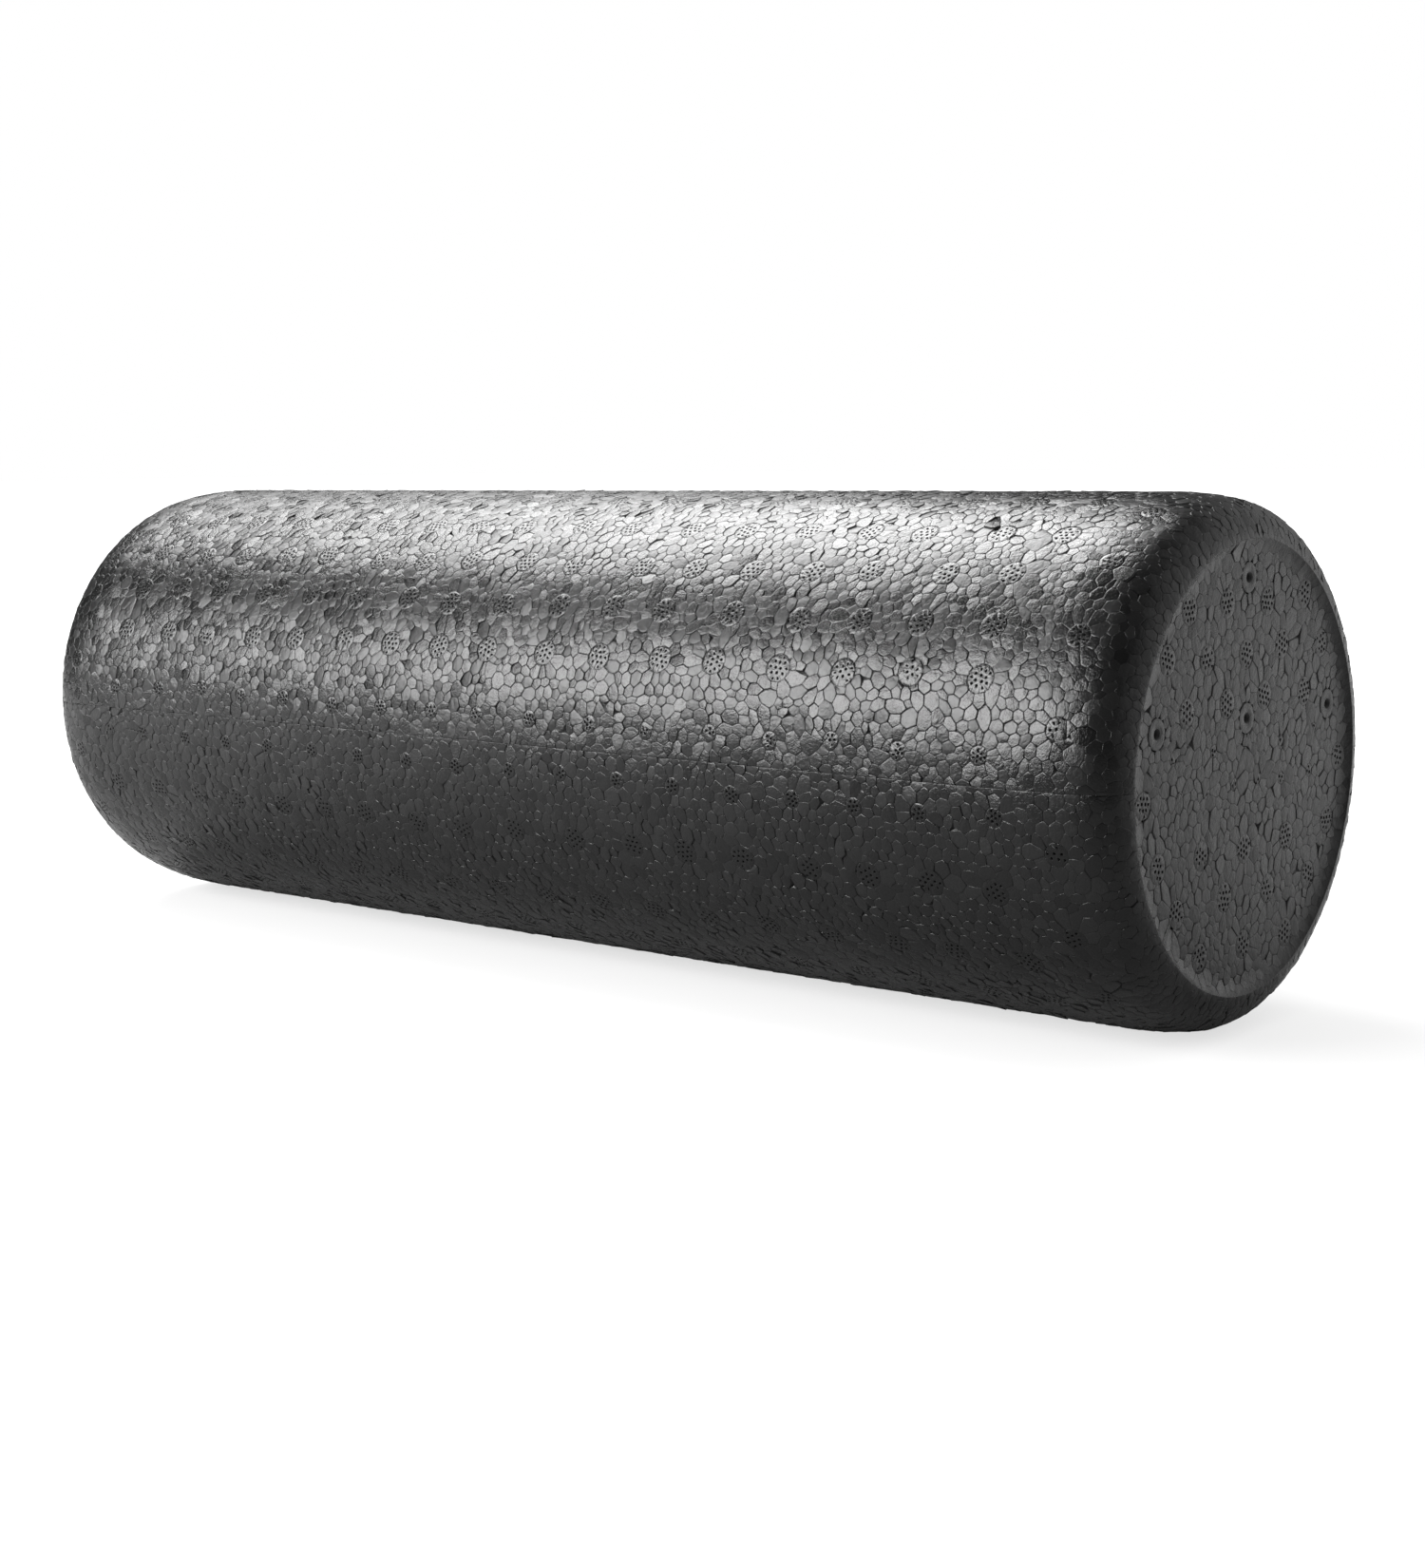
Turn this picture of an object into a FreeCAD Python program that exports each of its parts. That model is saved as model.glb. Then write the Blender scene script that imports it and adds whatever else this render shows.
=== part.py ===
"""Foam roller: a cylinder of black bead foam, 6 inches thick and nominally 18 long, on its side.

The real roller is one moulding. Its surface shows three seams, where the parts of its mould met:
a parting line along each side at mid height, and a circle round the recessed face at each end.
The model is divided at those seams, one bead deep, and what is left inside is the foam core.

X runs along the roller, Z is up, and the origin is on the floor under the middle of the roller.
"""
import FreeCAD, Part
import math
import os

# Driving dimensions, in millimetres.
LENGTH = 451.0
DIAMETER = 152.4
RIM_RADIUS = 63.7  # the inside edge of the rim, where the recess begins
RIM_LAND = 0.6  # the narrow flat ring that the roller stands on when it is on end
RIM_SLOPE = math.radians(8.8)  # how far the shoulder is from square to the axis where it meets the rim
SHOULDER_LEAD = 26.5  # how far from each end the surface starts to fall away
CORNER_RADIUS = 12.4  # the tight arc that turns the shoulder onto the rim
RECESS_DEPTH = 1.8  # from the rim down to the end face
DISH_WIDTH = 4.5  # the hollow slope between the rim and the flat end face
SKIN_THICKNESS = 4.5  # one layer of beads
MARK_SPACING = 49.7  # between neighbouring round tool marks on an end face
MARK_RISE = 13.9  # how far the row of three marks lies above the roller's axis
TOP_MARK_RISE = 52.8
MARK_RADIUS = 4.4  # of the groove round each mark
MARK_GROOVE = 0.5  # the groove's own radius
MARK_PIT_RADIUS = 1.6
MARK_PIT_DEPTH = 1.0

RADIUS = DIAMETER / 2
HALF_LENGTH = LENGTH / 2
END_FACE_X = HALF_LENGTH - RECESS_DEPTH
END_FACE_RADIUS = RIM_RADIUS - DISH_WIDTH
LAND_RADIUS = RIM_RADIUS + RIM_LAND

# The hollow slope is an arc that leaves the end face level and reaches the rim's inside edge.
DISH_RADIUS = (DISH_WIDTH**2 + RECESS_DEPTH**2) / (2 * RECESS_DEPTH)

# The shoulder is a long shallow arc and a tight one, tangent to each other. TURN is the angle
# that the long one covers, and follows from the length and the fall that they share.
CORNER_BACK = CORNER_RADIUS * math.cos(RIM_SLOPE)
CORNER_DOWN = CORNER_RADIUS * math.sin(RIM_SLOPE)
SWEEP_FALL = RADIUS - LAND_RADIUS - CORNER_RADIUS + CORNER_DOWN
SWEEP_LENGTH = SHOULDER_LEAD - CORNER_BACK
TURN = 2 * math.atan(SWEEP_FALL / SWEEP_LENGTH)
SWEEP_RADIUS = CORNER_RADIUS + SWEEP_LENGTH / math.sin(TURN)

ALONG = FreeCAD.Vector(1, 0, 0)
AXIS_HEIGHT = FreeCAD.Vector(0, 0, RADIUS)


def at(x, radius):
    """A point of an outline, drawn above the X axis."""
    return FreeCAD.Vector(x, 0, radius)


def line(start, end):
    return Part.LineSegment(start, end).toShape()


def arc(centre, radius, start, end):
    """Part of a circle. The angles are in radians, from straight up towards +X."""
    points = []
    for angle in (start, (start + end) / 2, end):
        points.append(centre + at(radius * math.sin(angle), radius * math.cos(angle)))
    return Part.Arc(*points).toShape()


def shoulder(inset, end_angle):
    """The shoulder at the +X end as two arcs, moved inward by inset, up to end_angle."""
    sweep_centre = at(HALF_LENGTH - SHOULDER_LEAD, RADIUS - SWEEP_RADIUS)
    corner_centre = at(HALF_LENGTH - CORNER_BACK, LAND_RADIUS - CORNER_DOWN)
    return [
        arc(sweep_centre, SWEEP_RADIUS - inset, 0, TURN),
        arc(corner_centre, CORNER_RADIUS - inset, TURN, end_angle),
    ]


def recess():
    """The outline from the rim's flat ring to the middle of the end face, at the +X end."""
    rim = at(HALF_LENGTH, RIM_RADIUS)
    dish_centre = at(END_FACE_X + DISH_RADIUS, END_FACE_RADIUS)
    rim_angle = math.atan2(RECESS_DEPTH - DISH_RADIUS, DISH_WIDTH)
    return [
        line(at(HALF_LENGTH, LAND_RADIUS), rim),
        arc(dish_centre, DISH_RADIUS, rim_angle, -math.pi / 2),
        line(at(END_FACE_X, END_FACE_RADIUS), at(END_FACE_X, 0)),
    ]


def turned(end_outline, radius, end_x):
    """A solid of revolution from the outline of its +X end, mirrored to the other end."""
    edges = list(end_outline)
    for edge in end_outline:
        edges.append(mirrored(edge))
    side_x = HALF_LENGTH - SHOULDER_LEAD
    edges.append(line(at(-side_x, radius), at(side_x, radius)))
    edges.append(line(at(-end_x, 0), at(end_x, 0)))
    face = Part.Face(Part.Wire(Part.__sortEdges__(edges)))
    solid = face.revolve(FreeCAD.Vector(), ALONG, 360)
    return solid.translated(AXIS_HEIGHT)


def moulding():
    """The whole roller, in one solid."""
    outline = shoulder(0, math.pi / 2 - RIM_SLOPE) + recess()
    return turned(outline, RADIUS, END_FACE_X)


def foam_core():
    """What is inside the outer layer of beads. Its ends are flat, behind the end faces."""
    end_x = HALF_LENGTH - CORNER_BACK + CORNER_RADIUS - SKIN_THICKNESS
    end = line(at(end_x, LAND_RADIUS - CORNER_DOWN), at(end_x, 0))
    outline = shoulder(SKIN_THICKNESS, math.pi / 2) + [end]
    core = turned(outline, RADIUS - SKIN_THICKNESS, end_x)
    flat_x = END_FACE_X - SKIN_THICKNESS
    between_ends = Part.makeCylinder(
        RADIUS, 2 * flat_x, AXIS_HEIGHT - ALONG * flat_x, ALONG
    )
    return core.common(between_ends)


def tool_mark(y, rise):
    """What a round tool mark cuts away at the +X end: a ring groove round a rounded pit."""
    centre = FreeCAD.Vector(END_FACE_X, y, RADIUS + rise)
    groove = Part.makeTorus(MARK_RADIUS, MARK_GROOVE, centre, ALONG)
    pit_radius = (MARK_PIT_RADIUS**2 + MARK_PIT_DEPTH**2) / (2 * MARK_PIT_DEPTH)
    pit = Part.makeSphere(pit_radius, centre + ALONG * (pit_radius - MARK_PIT_DEPTH))
    return [groove, pit]


def end_plug():
    """The room that the end face takes up, one bead thick, at the +X end."""
    back = AXIS_HEIGHT + ALONG * (END_FACE_X - SKIN_THICKNESS)
    return Part.makeCylinder(END_FACE_RADIUS, SKIN_THICKNESS, back, ALONG)


def end_face():
    """The recessed round face at the +X end, with its four tool marks."""
    marks = tool_mark(0, TOP_MARK_RISE)
    for y in (-MARK_SPACING, 0, MARK_SPACING):
        marks += tool_mark(y, MARK_RISE)
    return end_plug().cut(marks)


def mirrored(shape):
    """The same shape at the -X end."""
    return shape.mirror(FreeCAD.Vector(), ALONG)


def main():
    core = foam_core()
    skin = moulding().cut([core, end_plug(), mirrored(end_plug())])
    lower_half = Part.makeBox(
        LENGTH, DIAMETER, RADIUS, FreeCAD.Vector(-HALF_LENGTH, -RADIUS, 0)
    )
    nodes = {
        "foam_core": core,
        "upper_skin": skin.cut(lower_half),
        "lower_skin": skin.common(lower_half),
        "end_face_right": end_face(),
        "end_face_left": mirrored(end_face()),
    }
    os.makedirs("parts", exist_ok=True)
    for name, shape in nodes.items():
        shape.exportStep(f"parts/{name}.step")


main()
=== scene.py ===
import math
import random

import bmesh
import bpy
import numpy as np
from mathutils import Matrix, Vector, noise
from mathutils.geometry import delaunay_2d_cdt
from mathutils.kdtree import KDTree


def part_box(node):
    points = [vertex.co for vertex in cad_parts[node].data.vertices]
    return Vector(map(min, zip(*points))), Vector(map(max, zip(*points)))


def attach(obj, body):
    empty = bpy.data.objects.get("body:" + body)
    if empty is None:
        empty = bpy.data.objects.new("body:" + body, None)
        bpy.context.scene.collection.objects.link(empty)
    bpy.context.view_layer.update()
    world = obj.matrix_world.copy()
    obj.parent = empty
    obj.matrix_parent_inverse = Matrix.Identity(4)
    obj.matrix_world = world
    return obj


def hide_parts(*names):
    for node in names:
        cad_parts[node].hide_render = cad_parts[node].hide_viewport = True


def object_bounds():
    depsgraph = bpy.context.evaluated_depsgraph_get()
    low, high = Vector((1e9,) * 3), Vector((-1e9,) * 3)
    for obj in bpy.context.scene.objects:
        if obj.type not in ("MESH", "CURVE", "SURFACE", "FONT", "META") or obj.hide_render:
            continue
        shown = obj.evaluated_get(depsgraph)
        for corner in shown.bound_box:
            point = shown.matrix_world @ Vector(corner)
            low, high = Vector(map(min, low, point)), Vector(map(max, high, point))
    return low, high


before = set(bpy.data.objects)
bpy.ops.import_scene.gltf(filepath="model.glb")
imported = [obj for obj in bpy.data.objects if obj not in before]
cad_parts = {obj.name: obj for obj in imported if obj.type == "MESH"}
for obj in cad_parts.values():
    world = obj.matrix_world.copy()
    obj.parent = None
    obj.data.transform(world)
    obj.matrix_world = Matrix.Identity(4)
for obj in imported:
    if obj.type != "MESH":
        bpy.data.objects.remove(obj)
CAD_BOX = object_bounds()
low, high = Vector(CAD_BOX[0]), Vector(CAD_BOX[1])

MM = 0.001
HALF_LENGTH = high.x
RADIUS = (high.z - low.z) / 2
AXIS_HEIGHT = (high.z + low.z) / 2

# The roller's end, as the CAD has it.
RIM_RADIUS = 63.7 * MM
RIM_LAND = 0.6 * MM
RIM_SLOPE = math.radians(8.8)
SHOULDER_LEAD = 26.5 * MM
CORNER_RADIUS = 12.4 * MM
RECESS_DEPTH = HALF_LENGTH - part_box("end_face_right")[1][0]
DISH_WIDTH = 4.5 * MM
DISH_RADIUS = (DISH_WIDTH ** 2 + RECESS_DEPTH ** 2) / (2 * RECESS_DEPTH)
CORNER_BACK = CORNER_RADIUS * math.cos(RIM_SLOPE)
CORNER_DOWN = CORNER_RADIUS * math.sin(RIM_SLOPE)
SWEEP_LENGTH = SHOULDER_LEAD - CORNER_BACK
SWEEP_FALL = RADIUS - RIM_RADIUS - RIM_LAND - CORNER_RADIUS + CORNER_DOWN
TURN = 2 * math.atan(SWEEP_FALL / SWEEP_LENGTH)
SWEEP_RADIUS = CORNER_RADIUS + SWEEP_LENGTH / math.sin(TURN)

# Distances along the skin, from the rim's inside edge to the straight part of the roller.
CORNER_START = RIM_LAND
SWEEP_START = CORNER_START + CORNER_RADIUS * (math.pi / 2 - RIM_SLOPE - TURN)
STRAIGHT_START = SWEEP_START + SWEEP_RADIUS * TURN
SKIN_LENGTH = 2 * (STRAIGHT_START + HALF_LENGTH - SHOULDER_LEAD)
HALF_TURN = math.pi * RADIUS

# Beads of expanded polypropylene, pressed flat against the mould and into each other.
SKIN_BEAD = 3.75 * MM
END_BEAD = 4.0 * MM
BEAD_SHIFT = 0.42  # how far a bead may lie from its place in an even packing, in pitches
BEADS_MERGED = 0.06  # the share that has run into its neighbours
BEAD_RISE = 0.03 * MM
SKIN_TILT = math.tan(math.radians(2.4))
END_TILT = math.tan(math.radians(1.6))
BEAD_RINGS = ((0.988, 0.055), (0.962, 0.02), (0.84, 0.0))  # share of the way out, and millimetres down
GROOVE_DEPTH = 0.26 * MM
GROOVE_DEPTHS = (0.4, 1.1)  # the least and the most of that depth that a groove has
GROOVE_SHADES = (0.25, 0.9)  # how dark the painted shade on the floor of a groove is, at the least and at the most
PITTED_JUNCTIONS = 0.009  # the share of the corners between beads that the foam has not filled
PIT_DEPTH = 1.3 * MM
PIT_SHARE = 0.76  # how far out a bead reaches beside a pit
SHEET_MARGIN = 2  # rows and columns of beads beyond the edge, which trimming takes off
# How much of the beads' relief is left on the rim, on the shoulder and on the straight part.
RELIEF_PLACES = (0, 1.5 * MM, 0.5 * STRAIGHT_START, 1.2 * STRAIGHT_START)
RELIEF_SHARES = (0, 0.8, 0.8, 1)

# Steam vents leave round groups of small holes, in a flat that lies just under the beads.
VENT_RADIUS = 3.75 * MM
SMALL_VENT_RADIUS = 2.3 * MM
SHOULDER_VENT_RADIUS = 0.8 * VENT_RADIUS
VENT_CLEARANCE = 0.36  # from a vent to the nearest bead's middle, in pitches
VENT_SINK = 0.04 * MM
VENT_EDGE = 0.5 * MM  # from the outermost holes' circle to the groove round the vent
# How dark the painted shade in the groove round a vent is.
VENT_EDGE_SHADE = 0.35
LAND_SHARE = 0.95  # how much of a hole's cell is flat
HOLE_PITCH = 1.8 * MM
SMALL_HOLE_PITCH = 1.4 * MM
HOLE_SHIFT = 0.07  # how far a hole lies from its place, in pitches
OUTERMOST_HOLE = 0.9  # of the vent's radius
CELL_REACH = 0.6 * HOLE_PITCH  # a cell whose middle is this near a hole belongs to it
SKIN_HOLE = 0.42 * MM
END_HOLE = 0.47 * MM
HOLE_RINGS = ((1.34, 0.04, 0), (1.12, 0.07, 1), (1.0, 1.3, 1))  # of its radius, millimetres deep, and painted shade

# The flash along the parting line. The last four are millimetres up.
FLASH_LENGTH = 7 * MM
FINE_FLASH = 6  # times shorter than that
BACK_FLASH = 40  # how far from the front's flash the back's is read in the noise
FLASH_HEIGHT = 0.1
FLASH_SWELL = 0.22
FINE_SWELL = 0.08
LOWEST_FLASH = -0.15


def skin_outline(along):
    """Where the skin runs, for distances along it from the -X rim: x, radius, and the outward normal."""
    side = np.where(along > SKIN_LENGTH / 2, 1.0, -1.0)
    run = np.minimum(along, SKIN_LENGTH - along)
    land = run < CORNER_START
    corner = (run >= CORNER_START) & (run < SWEEP_START)
    sweep = (run >= SWEEP_START) & (run < STRAIGHT_START)
    angle = np.zeros_like(run)
    angle[land] = math.pi / 2
    angle[corner] = math.pi / 2 - RIM_SLOPE - (run[corner] - CORNER_START) / CORNER_RADIUS
    angle[sweep] = (STRAIGHT_START - run[sweep]) / SWEEP_RADIUS
    x = HALF_LENGTH - SHOULDER_LEAD - (run - STRAIGHT_START)
    radius = np.full_like(run, RADIUS)
    x[sweep] = HALF_LENGTH - SHOULDER_LEAD + SWEEP_RADIUS * np.sin(angle[sweep])
    radius[sweep] = RADIUS - SWEEP_RADIUS * (1 - np.cos(angle[sweep]))
    x[corner] = HALF_LENGTH - CORNER_BACK + CORNER_RADIUS * np.sin(angle[corner])
    radius[corner] = RIM_RADIUS + RIM_LAND - CORNER_DOWN + CORNER_RADIUS * np.cos(angle[corner])
    x[land] = HALF_LENGTH
    radius[land] = RIM_RADIUS + run[land]
    return side * x, radius, side * np.sin(angle), np.cos(angle)


def wrap_round(mesh, upward):
    """Wraps a flat sheet, drawn along the skin and round it, onto the upper or the lower half."""
    flat = np.empty(len(mesh.vertices) * 3)
    mesh.vertices.foreach_get("co", flat)
    along, across, rise = flat.reshape(-1, 3).T
    x, radius, normal_x, normal_r = skin_outline(along)
    run = np.minimum(along, SKIN_LENGTH - along)
    rise = rise * np.interp(run, RELIEF_PLACES, RELIEF_SHARES)
    out = radius + rise * normal_r
    turn = across / RADIUS * upward
    placed = np.stack([
        x + rise * normal_x,
        -out * np.cos(turn),
        AXIS_HEIGHT + out * np.sin(turn),
    ], axis=1)
    mesh.vertices.foreach_set("co", placed.ravel())


def near(places):
    """Something that finds which of these places on a flat sheet is nearest."""
    tree = KDTree(len(places))
    for number, place in enumerate(places):
        tree.insert(place.to_3d(), number)
    tree.balance()
    return tree


def scattered_sites(width, height, pitch, vents, chance, marks=()):
    """The middles of the beads on a flat sheet, clear of the vents, with two rings of them at each mark."""
    nearest = near([centre for centre, _ in vents])
    sites = []
    row_pitch = pitch * math.sqrt(0.75)
    for row in range(-SHEET_MARGIN, int(height / row_pitch) + SHEET_MARGIN + 2):
        for column in range(-SHEET_MARGIN, int(width / pitch) + SHEET_MARGIN + 2):
            start = Vector(((column + row % 2 / 2) * pitch, row * row_pitch))
            shift = Vector((BEAD_SHIFT * pitch * math.sqrt(chance.random()), 0))
            shift.rotate(Matrix.Rotation(chance.uniform(0, math.tau), 2))
            site = start + shift
            _, number, distance = nearest.find(site.to_3d())
            if distance < vents[number][1] + VENT_CLEARANCE * pitch:
                continue
            if any((site - mark).length < MARK_RADIUS + pitch * MARK_CLEARANCE for mark in marks):
                continue
            if chance.random() > BEADS_MERGED:
                sites.append(site)
    for mark in marks:
        for step in range(MARK_SITES):
            ray = Matrix.Rotation(step * math.tau / MARK_SITES, 2) @ Vector((1, 0))
            sites.append(mark + ray * (MARK_RADIUS - MARK_GAP))
            sites.append(mark + ray * (MARK_RADIUS + MARK_GAP))
    return sites


def vent_holes(centre, radius, chance):
    """The middles of one vent's holes: an even packing, turned and shifted by chance."""
    turn = Matrix.Rotation(chance.uniform(0, math.tau), 2)
    pitch = HOLE_PITCH if radius > SMALL_VENT_RADIUS else SMALL_HOLE_PITCH
    offset = Vector((chance.uniform(-0.5, 0.5), chance.uniform(-0.5, 0.5))) * pitch
    reach = int(radius / pitch) + 2
    holes = []
    for row in range(-reach, reach + 1):
        for column in range(-reach, reach + 1):
            hole = Vector((column + row % 2 / 2, row * math.sqrt(0.75))) * pitch + offset
            hole += Vector((chance.gauss(0, HOLE_SHIFT), chance.gauss(0, HOLE_SHIFT))) * pitch
            hole.rotate(turn)
            if hole.length < radius * OUTERMOST_HOLE:
                holes.append(centre + hole)
    return holes


def cell_sheet(sites):
    """A flat sheet with one many-sided face round each site."""
    points, _, triangles, *_ = delaunay_2d_cdt(sites, [], [], 0, 1e-6)
    bm = bmesh.new()
    bm.faces.layers.float.new("bead_tone")
    bm.verts.layers.float.new("groove")
    middles = [bm.verts.new(point.to_3d()) for point in points]
    for triangle in triangles:
        bm.faces.new([middles[corner] for corner in triangle])
    spokes = [edge for edge in bm.edges if not edge.is_boundary]
    bmesh.ops.poke(bm, faces=bm.faces[:], center_mode="MEAN")
    bmesh.ops.rotate_edges(bm, edges=spokes)
    inner = [middle for middle in middles if not middle.is_boundary]
    bmesh.ops.dissolve_verts(bm, verts=inner)
    return bm


def trim(bm, point, outward):
    """Cuts a sheet off along a line and throws away what lies outward of it."""
    everything = bm.verts[:] + bm.edges[:] + bm.faces[:]
    bmesh.ops.bisect_plane(
        bm, geom=everything, plane_co=point, plane_no=outward, clear_outer=True, dist=1e-7
    )


def sort_cells(bm, holes, kept, chance):
    """Tells the cells round vent holes from the beads, and gives every bead a tone."""
    nearest = near(holes)
    tone = bm.faces.layers.float["bead_tone"]
    pierced, beads = {}, []
    for face in bm.faces:
        if face in kept:
            continue
        hole, _, distance = nearest.find(face.calc_center_median())
        if distance < CELL_REACH:
            pierced[face] = hole.to_2d()
        else:
            beads.append(face)
            face[tone] = chance.random()
    return pierced, beads


def sink_grooves(bm, vents, pierced, chance):
    """Sinks the corners between beads, paints shade into the floor of each groove, and draws those round a
    vent onto a circle.
    """
    nearest_vent = near([centre for centre, _ in vents])
    groove = bm.verts.layers.float["groove"]
    pitted, rims = set(), []
    for vert in bm.verts:
        on_land = any(face in pierced for face in vert.link_faces)
        if on_land and not all(face in pierced for face in vert.link_faces):
            _, number, _ = nearest_vent.find(vert.co)
            centre, radius = vents[number]
            arm = (vert.co.to_2d() - centre).normalized() * (radius + VENT_EDGE)
            vert.co = (centre + arm).to_3d()
            rims.append(vert)
        vert.co.z = -VENT_SINK if on_land else -GROOVE_DEPTH * chance.uniform(*GROOVE_DEPTHS)
        vert[groove] = 0 if on_land else chance.uniform(*GROOVE_SHADES)
        if not on_land and chance.random() < PITTED_JUNCTIONS:
            vert.co.z = -PIT_DEPTH
            pitted.add(vert.co.to_2d().to_tuple(7))
    return pitted, rims


def raise_beads(bm, beads, pitted, tilt, chance):
    """Raises each bead to a flat top with a narrow slope round it, tilted and set high or low by chance."""
    groove = bm.verts.layers.float["groove"]
    shapes = []
    for face in beads:
        lean = Vector((chance.gauss(0, 1), chance.gauss(0, 1))) * tilt
        shapes.append((face.calc_center_median().to_2d(), lean, chance.gauss(0, 1) * BEAD_RISE))
    last = 1.0
    for ring, (inward, drop) in enumerate(BEAD_RINGS):
        bmesh.ops.inset_individual(bm, faces=beads, thickness=0)
        for face, (middle, lean, rise) in zip(beads, shapes):
            for vert in face.verts:
                flat = vert.co.to_2d()
                share = inward / last
                if ring == 0 and flat.to_tuple(7) in pitted:
                    share *= PIT_SHARE
                arm = (flat - middle) * share
                vert.co = (middle + arm).to_3d()
                vert.co.z = rise + arm.dot(lean) - drop * MM
                vert[groove] = 0
        last = inward


def pierce_vents(bm, pierced, rims, hole_radius):
    """Makes the cells of a vent a flat with a groove round it, and sinks a round hole in each, with painted
    shade in that groove and down each hole.
    """
    groove = bm.verts.layers.float["groove"]
    for vert in rims:
        vert.co.z = -2 * VENT_SINK
        vert[groove] = VENT_EDGE_SHADE
    bmesh.ops.inset_individual(bm, faces=list(pierced), thickness=0)
    for face in pierced:
        middle = face.calc_center_median()
        for vert in face.verts:
            vert.co = middle.lerp(vert.co, LAND_SHARE)
            vert.co.z = -VENT_SINK
            vert[groove] = 0
    for share, drop, shade in HOLE_RINGS:
        bmesh.ops.inset_individual(bm, faces=list(pierced), thickness=0)
        for face, middle in pierced.items():
            for vert in face.verts:
                arm = (vert.co.to_2d() - middle).normalized() * share * hole_radius
                vert.co = (middle + arm).to_3d()
                vert.co.z = -drop * MM
                vert[groove] = shade


def press_sheet(bm, vents, holes, hole_radius, tilt, chance, marked=()):
    """Turns a flat sheet of cells into beads and vents. Marked faces become neither."""
    pierced, beads = sort_cells(bm, holes, {face for face, _ in marked}, chance)
    pitted, rims = sink_grooves(bm, vents, pierced, chance)
    raise_beads(bm, beads, pitted, tilt, chance)
    pierce_vents(bm, pierced, rims, hole_radius)


def finished(bm, name, surface):
    """Puts a finished mesh into the scene as an object at the origin."""
    mesh = bpy.data.meshes.new(name)
    bm.to_mesh(mesh)
    bm.free()
    mesh.materials.append(surface)
    mesh.shade_smooth()
    piece = bpy.data.objects.new(name, mesh)
    bpy.context.scene.collection.objects.link(piece)
    return piece


def skin_vents(rows, chance):
    """The vents of one half: its rows, up both sides of the roller, and those on its shoulders."""
    vents = []
    for degrees, radius, count, pitch in rows:
        drift = [chance.gauss(0, ROW_DRIFT) * pitch for _ in range(count)]
        for side in {degrees, 180 - degrees}:
            for column in range(count):
                along = SKIN_LENGTH / 2 + (column - (count - 1) / 2) * pitch + drift[column]
                centre = Vector((along, math.radians(side) * RADIUS + chance.gauss(0, VENT_DRIFT) * MM))
                vents.append((centre, radius))
    for degrees in SHOULDER_VENTS:
        for along in (SHOULDER_VENT, SKIN_LENGTH - SHOULDER_VENT):
            for side in {degrees, 180 - degrees}:
                vents.append((Vector((along, math.radians(side) * RADIUS)), SHOULDER_VENT_RADIUS))
    return vents


# Rows of vents up each side: degrees off the parting line, radius, how many, and their pitch.
UPPER_ROWS = (
    (6.0, SMALL_VENT_RADIUS, 17, 22.8 * MM),
    (21.6, VENT_RADIUS, 17, 22.8 * MM),
    (33.4, VENT_RADIUS, 17, 22.8 * MM),
    (45.6, VENT_RADIUS, 17, 22.8 * MM),
    (58.8, VENT_RADIUS, 18, 22.4 * MM),
    (74.3, VENT_RADIUS, 18, 22.4 * MM),
    (90, VENT_RADIUS, 18, 22.4 * MM),
)
LOWER_ROWS = (
    (6.4, SMALL_VENT_RADIUS, 18, 22.4 * MM),
    (22.0, VENT_RADIUS, 18, 22.4 * MM),
    (40.8, VENT_RADIUS, 18, 22.4 * MM),
    (55.5, VENT_RADIUS, 18, 22.4 * MM),
    (73.0, VENT_RADIUS, 18, 22.4 * MM),
    (90, VENT_RADIUS, 18, 22.4 * MM),
)
SHOULDER_VENTS = (12.5, 32, 51, 70, 90)  # degrees off the parting line
SHOULDER_VENT = 23 * MM  # along the skin from the rim
ROW_DRIFT = 0.05  # of the pitch
VENT_DRIFT = 0.5  # millimetres

# Rows of vents on an end face, in millimetres: height over the middle, first place across, pitch,
# how many, and radius.
END_ROWS = (
    (45.5, -33.5, 22.3, 4, 3.75),
    (32.0, -45.2, 22.5, 5, 3.75),
    (18.3, -34.6, 23.0, 4, 3.75),
    (7.0, -40.0, 20.0, 5, 1.5),
    (-3.6, -57.0, 114.0, 2, 3.6),
    (-4.0, -37.0, 14.8, 6, 1.5),
    (-22.0, -49.5, 25.0, 5, 3.75),
    (-35.3, -37.0, 25.3, 4, 3.75),
    (-50.2, -23.4, 24.8, 3, 3.75),
)
END_DRIFT = 0.7  # millimetres

# Round marks that the mould's ejector pins leave on an end face, in millimetres across and up.
TOOL_MARKS = ((0, 52.8), (-49.7, 13.9), (0, 13.9), (49.7, 13.9))
MARK_RADIUS = 4.7 * MM
MARK_TONE = 0.6
MARK_CLEARANCE = 0.85  # from a mark to the nearest bead's middle, in pitches
MARK_SITES = 13  # cells round a mark, on each side of its edge
MARK_GAP = 2 * MM
INSIDE_MARK = 0.9  # a cell whose middle is within this much of the radius is part of the mark
# Rings of a mark from its edge inward: share of its radius, and millimetres deep. The first three are
# the groove, the next three the raised button and the last two the pit.
MARK_RINGS = (
    (1.0, 0.02),
    (0.985, 0.6),
    (0.925, 0.6),
    (0.905, -0.02),
    (0.88, -0.05),
    (0.36, -0.05),
    (0.30, 0.1),
    (0.19, 0.9),
)

RIM_SIDES = 120
DISH_FADE = 3.8 * MM  # over which the beads' relief dies out towards the rim
SMOOTH_EDGE = 0.3 * MM


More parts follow.
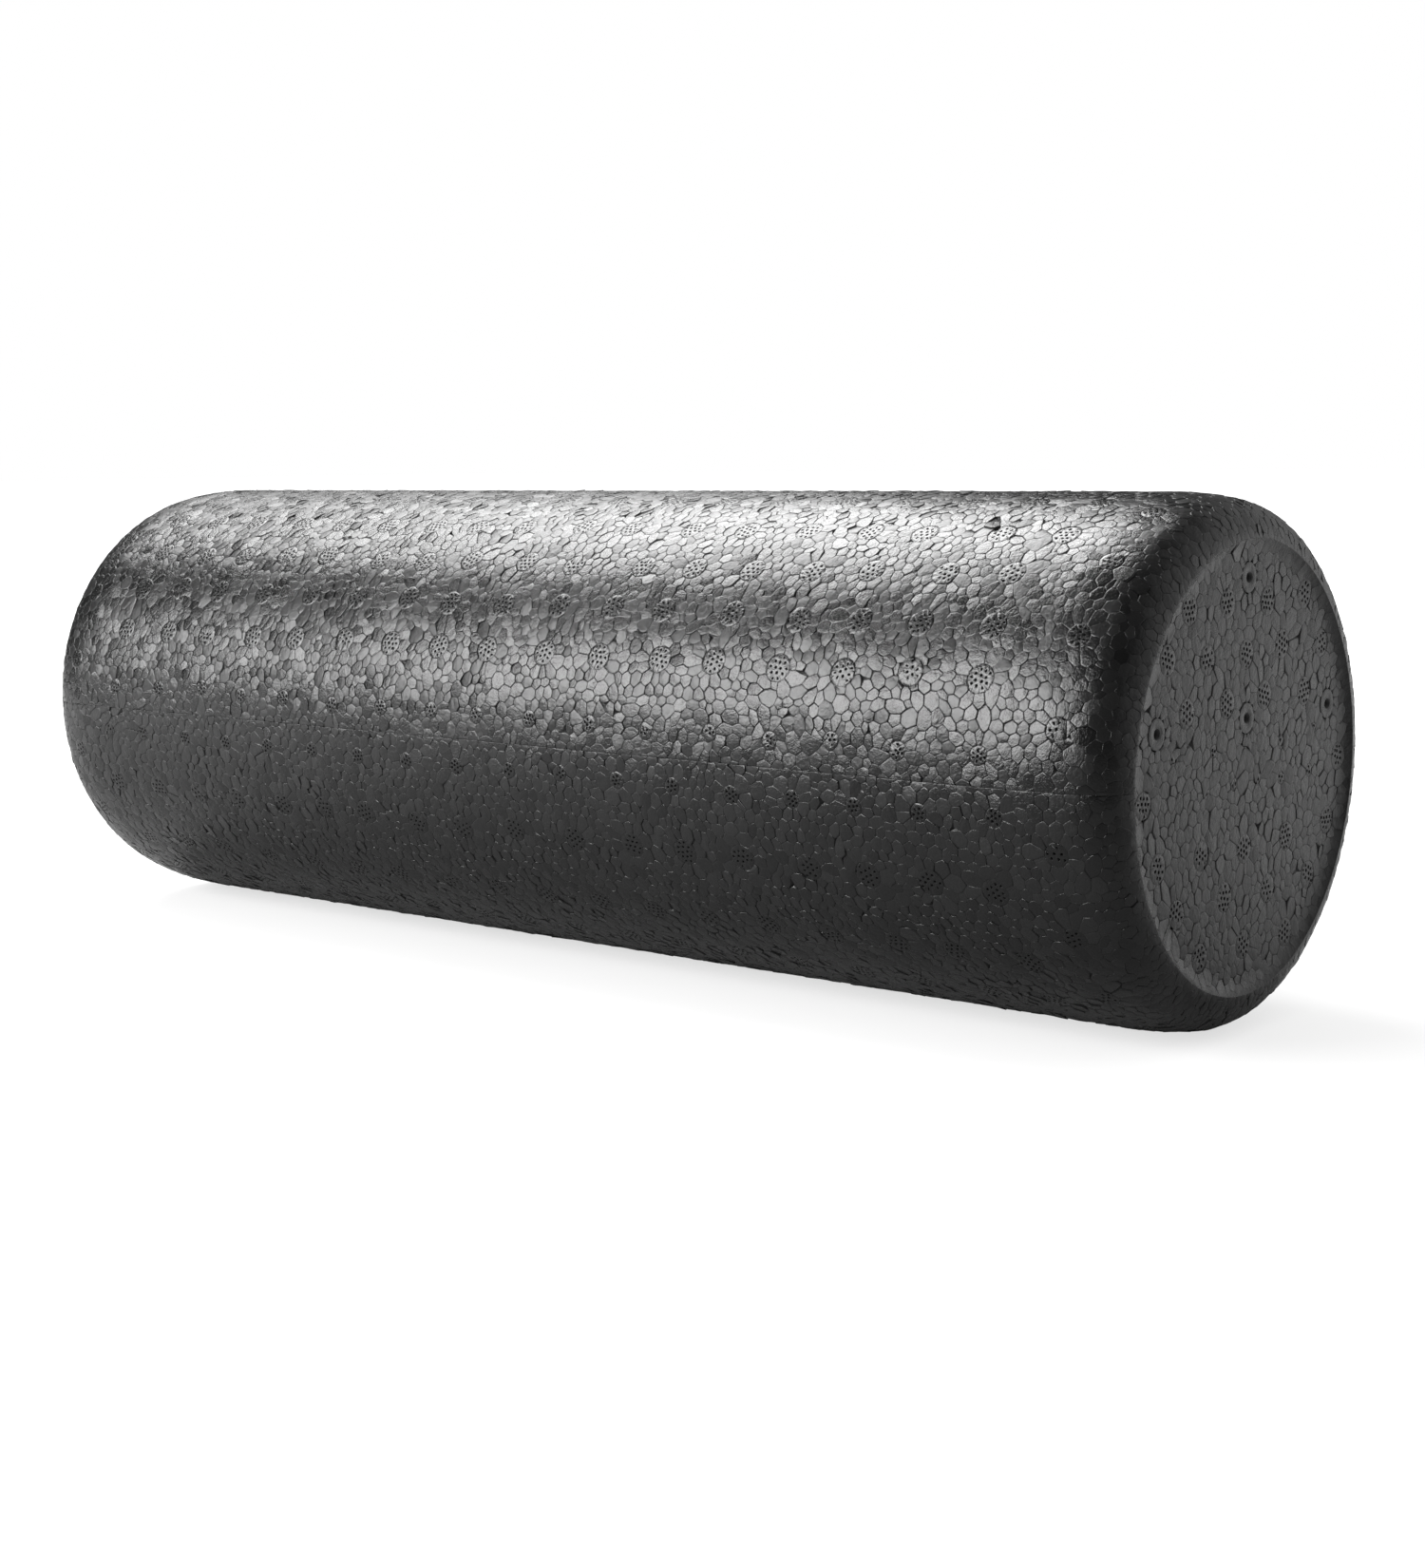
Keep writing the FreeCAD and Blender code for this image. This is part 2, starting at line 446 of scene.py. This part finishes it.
def skin_half(name, rows, upward, surface, seed):
    """The beads above the parting line, or below it with upward at -1."""
    chance = random.Random(seed)
    vents = skin_vents(rows, chance)
    sites = scattered_sites(SKIN_LENGTH, HALF_TURN, SKIN_BEAD, vents, chance)
    holes = [hole for vent in vents for hole in vent_holes(*vent, chance)]
    bm = cell_sheet(sites + holes)
    trim(bm, (0, 0, 0), (-1, 0, 0))
    trim(bm, (SKIN_LENGTH, 0, 0), (1, 0, 0))
    trim(bm, (0, 0, 0), (0, -1, 0))
    trim(bm, (0, HALF_TURN, 0), (0, 1, 0))
    press_sheet(bm, vents, holes, SKIN_HOLE, SKIN_TILT, chance)
    for vert in bm.verts:
        if vert.is_boundary:
            vert.co.z = parting_rise(vert.co)
            vert[bm.verts.layers.float["groove"]] = 0
    piece = finished(bm, name, surface)
    wrap_round(piece.data, upward)
    if upward < 0:
        piece.data.flip_normals()
    return piece


def parting_rise(place):
    """How far the flash stands up along the parting line, so that both halves meet."""
    elsewhere = 0 if place.y < HALF_TURN / 2 else BACK_FLASH
    spot = Vector((place.x / FLASH_LENGTH, elsewhere, 0))
    swell = FLASH_SWELL * noise.noise(spot) + FINE_SWELL * noise.noise(spot * FINE_FLASH)
    return max(LOWEST_FLASH, swell + FLASH_HEIGHT) * MM


def end_face(name, side, surface, seed):
    """The beads of one recessed end face, up to the rim's inside edge. side is 1 at +X and -1 at -X."""
    chance = random.Random(seed)
    middle = Vector((RIM_RADIUS, RIM_RADIUS))
    vents = []
    for rise, first, pitch, count, radius in END_ROWS:
        for number in range(count):
            across = first + number * pitch + chance.gauss(0, END_DRIFT)
            place = Vector((across, rise + chance.gauss(0, END_DRIFT)))
            vents.append((middle + place * MM, radius * MM))
    marks = [middle + Vector(place) * MM for place in TOOL_MARKS]
    sites = scattered_sites(2 * RIM_RADIUS, 2 * RIM_RADIUS, END_BEAD, vents, chance, marks)
    holes = [hole for vent in vents for hole in vent_holes(*vent, chance)]
    bm = cell_sheet(sites + holes)
    for step in range(RIM_SIDES):
        angle = step * math.tau / RIM_SIDES
        outward = Vector((math.cos(angle), math.sin(angle), 0))
        trim(bm, middle.to_3d() + outward * RIM_RADIUS, outward)
    marked = open_marks(bm, marks)
    press_sheet(bm, vents, holes, END_HOLE, END_TILT, chance, marked)
    press_marks(bm, marked)
    piece = finished(bm, name, surface)
    stand_up(piece.data, side)
    return piece


def stand_up(mesh, side):
    """Stands a flat round sheet up as an end face, dished where it meets the rim."""
    flat = np.empty(len(mesh.vertices) * 3)
    mesh.vertices.foreach_get("co", flat)
    across, height, rise = flat.reshape(-1, 3).T
    across = across - RIM_RADIUS
    height = height - RIM_RADIUS
    out = np.hypot(across, height)
    rise = rise * np.clip((RIM_RADIUS - SMOOTH_EDGE - out) / DISH_FADE, 0, 1)
    beyond = np.clip(out - (RIM_RADIUS - DISH_WIDTH), 0, DISH_WIDTH)
    dish = DISH_RADIUS - np.sqrt(DISH_RADIUS ** 2 - beyond ** 2)
    placed = np.stack([
        side * (HALF_LENGTH - RECESS_DEPTH + dish + rise),
        side * across,
        AXIS_HEIGHT + height,
    ], axis=1)
    mesh.vertices.foreach_set("co", placed.ravel())


def from_mark(face, mark):
    """How far the middle of a face lies from a mark."""
    return (face.calc_center_median().to_2d() - mark).length


def open_marks(bm, marks):
    """Joins the cells inside each tool mark into one face with enough corners to be round."""
    marked = []
    for mark in marks:
        inside = [face for face in bm.faces if from_mark(face, mark) < MARK_RADIUS * INSIDE_MARK]
        bmesh.ops.dissolve_faces(bm, faces=inside)
        face = min(bm.faces, key=lambda face: from_mark(face, mark))
        bmesh.ops.subdivide_edges(bm, edges=face.edges[:], cuts=2)
        face = min(bm.faces, key=lambda face: from_mark(face, mark))
        marked.append((face, mark))
    return marked


def press_marks(bm, marked):
    """Presses the ring and the pit of the mould's own marks, with painted shade in them that grows with
    their depth.
    """
    groove = bm.verts.layers.float["groove"]
    tone = bm.faces.layers.float["bead_tone"]
    for face, mark in marked:
        face[tone] = MARK_TONE
        for inward, drop in MARK_RINGS:
            if inward < 1:
                bmesh.ops.inset_individual(bm, faces=[face], thickness=0)
            for vert in face.verts:
                arm = vert.co.to_2d() - mark
                vert.co = (mark + arm.normalized() * MARK_RADIUS * inward).to_3d()
                vert.co.z = -drop * MM
                vert[groove] = max(0, drop)


def srgb(code):
    """A colour from its sRGB hex code, as the linear values that a shader takes."""
    channels = [int(code[place:place + 2], 16) / 255 for place in (1, 3, 5)]
    linear = [c / 12.92 if c <= 0.04045 else ((c + 0.055) / 1.055) ** 2.4 for c in channels]
    return (*linear, 1)


def add(tree, kind, settings=None, links=None):
    """Adds a node, with its settings and what feeds each of its inputs."""
    node = tree.nodes.new(kind)
    for key, value in (settings or {}).items():
        if isinstance(key, int) or key in node.inputs:
            node.inputs[key].default_value = value
        else:
            setattr(node, key, value)
    for key, socket in (links or {}).items():
        tree.links.new(socket, node.inputs[key])
    return node


def fresh_tree(owner):
    """The emptied node tree of a new material or world."""
    owner.use_nodes = True
    owner.node_tree.nodes.clear()
    return owner.node_tree


# Expanded polypropylene, dyed black, steamed and pressed against a smooth mould. Each bead keeps a thin
# half-matt skin, which mirrors lamps as a soft glow, and a wavy grain breaks that glow up. No two beads
# are quite alike in gloss. The grooves between them are rough and too narrow to send much light back,
# and their colour is darkened towards black there by painted shade.
FOAM_IOR = 1.49  # solid polypropylene
DULLEST_SKIN = 0.30  # roughness
GLOSSIEST_SKIN = 0.21
GROOVE_ROUGHNESS = 0.9
GRAIN_SIZE = 2.2 * MM  # the coarsest ripples, and four octaves finer below them
GRAIN_HEIGHT = 0.26 * MM


def bead_foam():
    material = bpy.data.materials.new("black_expanded_polypropylene")
    tree = fresh_tree(material)
    place = add(tree, "ShaderNodeTexCoord").outputs["Object"]
    grain = add(tree, "ShaderNodeTexNoise", {"Scale": 1 / GRAIN_SIZE, "Detail": 4, "Roughness": 0.72},
                {"Vector": place})
    bump = add(tree, "ShaderNodeBump", {"Strength": 1.0, "Distance": GRAIN_HEIGHT}, {
        "Height": grain.outputs[0],
    })
    tone = add(tree, "ShaderNodeAttribute", {"attribute_name": "bead_tone"})
    groove = add(tree, "ShaderNodeAttribute", {"attribute_name": "groove"})
    bead = add(tree, "ShaderNodeMix", {
        "data_type": "RGBA", 6: srgb("#0D0D0D"), 7: srgb("#191919"),
    }, {0: tone.outputs["Fac"]})
    # Painted shade: grooves, vent holes and mark pits are darkened towards near black by the groove shade
    # attribute.
    colour = add(tree, "ShaderNodeMix", {"data_type": "RGBA", 7: srgb("#060606")}, {
        0: groove.outputs["Fac"], 6: bead.outputs[2],
    })
    gloss = add(tree, "ShaderNodeMapRange", {"To Min": GLOSSIEST_SKIN, "To Max": DULLEST_SKIN}, {
        "Value": tone.outputs["Fac"],
    })
    dull = add(tree, "ShaderNodeMix", {3: GROOVE_ROUGHNESS}, {
        0: groove.outputs["Fac"], 2: gloss.outputs["Result"],
    })
    shader = add(tree, "ShaderNodeBsdfPrincipled", {"IOR": FOAM_IOR}, {
        "Base Color": colour.outputs[2], "Roughness": dull.outputs[0], "Normal": bump.outputs["Normal"],
    })
    add(tree, "ShaderNodeOutputMaterial", links={"Surface": shader.outputs["BSDF"]})
    return material


# Matt white background paper. To the camera it also glows with painted light, more with distance, so that it
# runs into the white behind and keeps only a soft shadow close to the roller. To every other ray, and so to
# whatever the roller mirrors, it is a grey with painted shade that darkens it towards the front right and
# painted light that lightens it far off.
TO_FRONT_RIGHT = (0.7, -0.7, 0)


def studio_paper():
    material = bpy.data.materials.new("white_studio_paper")
    tree = fresh_tree(material)
    place = add(tree, "ShaderNodeTexCoord").outputs["Object"]
    away = add(tree, "ShaderNodeVectorMath", {"operation": "LENGTH"}, {0: place}).outputs["Value"]
    glow = add(tree, "ShaderNodeMapRange", {
        "From Min": 0.4, "From Max": 1.0, "To Min": 0.68, "To Max": 1.0,
    }, {"Value": away})
    paper = add(tree, "ShaderNodeBsdfDiffuse", {"Color": srgb("#999999")})
    lit = add(tree, "ShaderNodeEmission", {"Color": srgb("#FFFFFF")}, {"Strength": glow.outputs[0]})
    seen = add(tree, "ShaderNodeAddShader", links={0: paper.outputs[0], 1: lit.outputs[0]})
    front = add(tree, "ShaderNodeVectorMath", {"operation": "DOT_PRODUCT", 1: TO_FRONT_RIGHT}, {0: place})
    # Painted shade on the paper towards the front right, in what the roller mirrors.
    painted_front_shade = add(tree, "ShaderNodeMapRange", {
        "From Min": 0.1, "From Max": 0.4, "To Min": 0.34, "To Max": 0.09,
    }, {"Value": front.outputs["Value"]})
    # Painted light that lightens the paper far off, in what the roller mirrors.
    far = add(tree, "ShaderNodeMapRange", {
        "From Min": 0.15, "From Max": 0.9, "To Min": 0.85, "To Max": 1.65,
    }, {"Value": away})
    both = add(tree, "ShaderNodeMath", {"operation": "MULTIPLY"}, {0: painted_front_shade.outputs[0], 1: far.outputs[0]})
    mirrored = add(tree, "ShaderNodeBsdfDiffuse", links={"Color": both.outputs[0]})
    path = add(tree, "ShaderNodeLightPath")
    mix = add(tree, "ShaderNodeMixShader", links={
        0: path.outputs["Is Camera Ray"], 1: mirrored.outputs[0], 2: seen.outputs[0],
    })
    add(tree, "ShaderNodeOutputMaterial", links={"Surface": mix.outputs[0]})
    return material


FLOOR_REACH = 20  # metres, from the middle to each side


def floor():
    bm = bmesh.new()
    bmesh.ops.create_grid(bm, x_segments=1, y_segments=1, size=FLOOR_REACH)
    piece = finished(bm, "studio_floor", studio_paper())


# Soft boxes: name, azimuth from +Y towards +X and elevation in degrees, width and height in metres, and
# radiance, which is what a mirror would show. Seen from the camera, the first makes the bright band
# along the top and the second adds a little to it, the third makes the band along the front, and the
# last a faint sheen on the end face.
SOFT_BOXES = (
    ("key_box", -70, 51, 2.3, 1.35, 11),
    ("back_box", -50, 27, 1.5, 1.0, 1.4),
    ("front_box", -145, 22.5, 1.8, 1.5, 14),
    ("end_box", 27, 6, 1.4, 0.7, 0.3),
)
BOX_DISTANCE = 3.0  # metres


def soft_box(name, azimuth, elevation, width, height, radiance):
    """A soft box that faces the roller."""
    a, e = math.radians(azimuth), math.radians(elevation)
    towards = Vector((math.sin(a) * math.cos(e), math.cos(a) * math.cos(e), math.sin(e)))
    data = bpy.data.lights.new(name, "AREA")
    data.shape = "RECTANGLE"
    data.size = width
    data.size_y = height
    data.energy = radiance * width * height * math.pi
    lamp = bpy.data.objects.new(name, data)
    lamp.location = Vector((0, 0, AXIS_HEIGHT)) + towards * BOX_DISTANCE
    lamp.rotation_euler = towards.to_track_quat("Z", "Y").to_euler()
    lamp.visible_camera = False
    bpy.context.scene.collection.objects.link(lamp)


# A room that is white to the camera and to matt surfaces. What the roller mirrors of it is nearly
# black, as it would be among black flags, apart from a pale side to the right behind.
TO_PALE_SIDE = (0.64, 0.77, 0)


def studio():
    world = bpy.data.worlds.new("studio")
    bpy.context.scene.world = world
    tree = fresh_tree(world)
    path = add(tree, "ShaderNodeLightPath")
    way = add(tree, "ShaderNodeTexCoord")
    pale_side = add(tree, "ShaderNodeVectorMath", {"operation": "DOT_PRODUCT", 1: TO_PALE_SIDE}, {
        0: way.outputs["Generated"],
    })
    mirrored = add(tree, "ShaderNodeMapRange", {
        "From Min": 0.3, "From Max": 0.9, "To Min": 0.04, "To Max": 0.6,
    }, {"Value": pale_side.outputs["Value"]})
    strength = add(tree, "ShaderNodeMix", {2: 1.0}, {
        0: path.outputs["Is Glossy Ray"], 3: mirrored.outputs["Result"],
    })
    back = add(tree, "ShaderNodeBackground", {"Color": srgb("#FFFFFF")}, {"Strength": strength.outputs[0]})
    add(tree, "ShaderNodeOutputWorld", links={"Surface": back.outputs[0]})
    for box in SOFT_BOXES:
        soft_box(*box)
    bpy.context.scene.view_settings.view_transform = "Standard"


# The camera looks at the roller from in front of its right end and a little above it.
CAMERA_PLACE = Vector((542.4364, -615.0666, 162.8991)) * MM
CAMERA_YAW = 0.6934  # radians, like the next two
CAMERA_PITCH = -0.1318
CAMERA_ROLL = -0.0097
LENS = 56.46  # millimetres, and so is the sensor's longer side
SENSOR = 36
FAR_AWAY = 100  # metres


def camera():
    data = bpy.data.cameras.new("camera")
    data.lens = LENS
    data.sensor_width = SENSOR
    data.sensor_fit = "AUTO"
    data.clip_end = FAR_AWAY
    eye = bpy.data.objects.new("camera", data)
    turn = Matrix.Rotation(CAMERA_YAW, 4, "Z") @ Matrix.Rotation(math.pi / 2 + CAMERA_PITCH, 4, "X")
    turn = turn @ Matrix.Rotation(CAMERA_ROLL, 4, "Z")
    eye.matrix_world = Matrix.Translation(CAMERA_PLACE) @ turn
    bpy.context.scene.collection.objects.link(eye)
    bpy.context.scene.camera = eye


def main():
    foam = bead_foam()
    camera()
    studio()
    floor()
    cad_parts["foam_core"].data.materials.clear()
    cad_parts["foam_core"].data.materials.append(foam)
    shells = {
        "upper_skin": skin_half("upper_beads", UPPER_ROWS, 1, foam, 11),
        "lower_skin": skin_half("lower_beads", LOWER_ROWS, -1, foam, 23),
        "end_face_right": end_face("right_end_beads", 1, foam, 31),
        "end_face_left": end_face("left_end_beads", -1, foam, 47),
    }
    for node, piece in shells.items():
        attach(piece, "root")
        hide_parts(node)


main()
